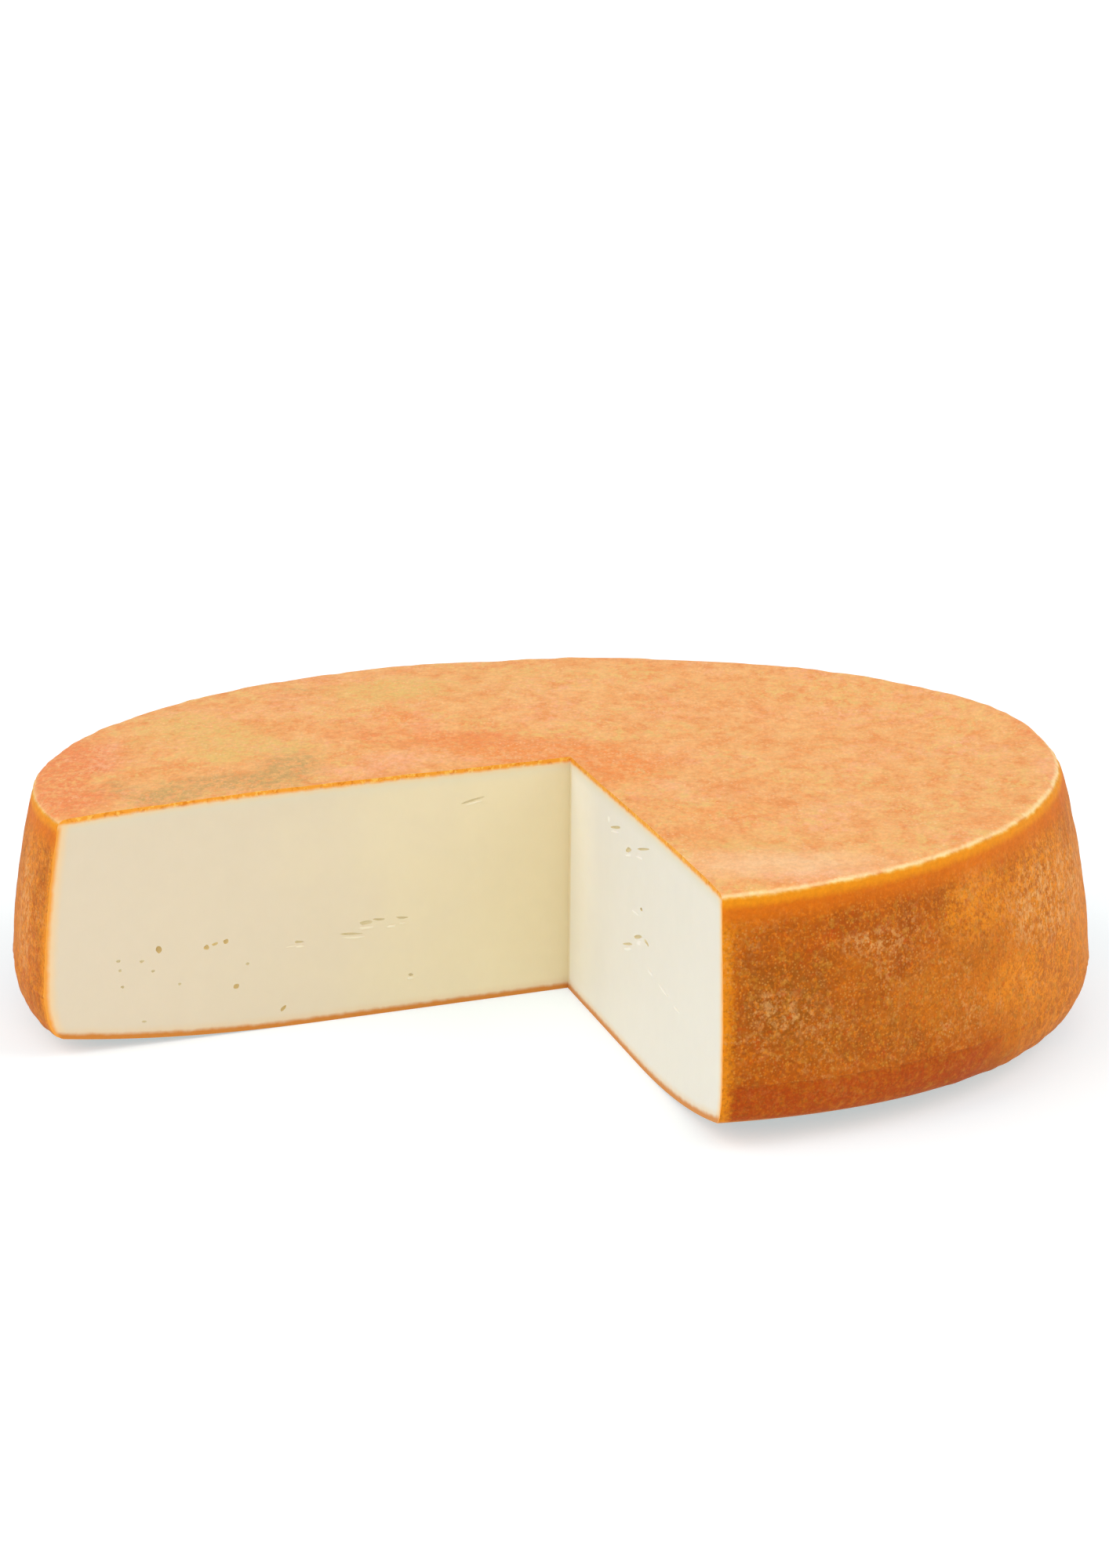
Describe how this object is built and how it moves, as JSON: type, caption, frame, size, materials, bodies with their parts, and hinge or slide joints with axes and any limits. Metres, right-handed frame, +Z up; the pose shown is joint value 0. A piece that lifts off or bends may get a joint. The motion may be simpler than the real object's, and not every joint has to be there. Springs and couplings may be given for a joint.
{
  "type": "fontina cheese",
  "caption": "Low round wheel of semi-hard cheese with an orange rind and a wedge cut out of it, showing the pale inside.",
  "frame": {"origin": "middle of the wheel's footprint, on the surface that it rests on", "axes": "+Z up, along the wheel's axis; -Y towards the cut-out, which opens forwards; +X to the right as seen from there"},
  "size_m": [0.3796, 0.3652, 0.0909],
  "materials": {
    "cheese": "satin"
  },
  "bodies": {
    "root": {"cheese_wheel": "cheese"}
  },
  "joints": []
}
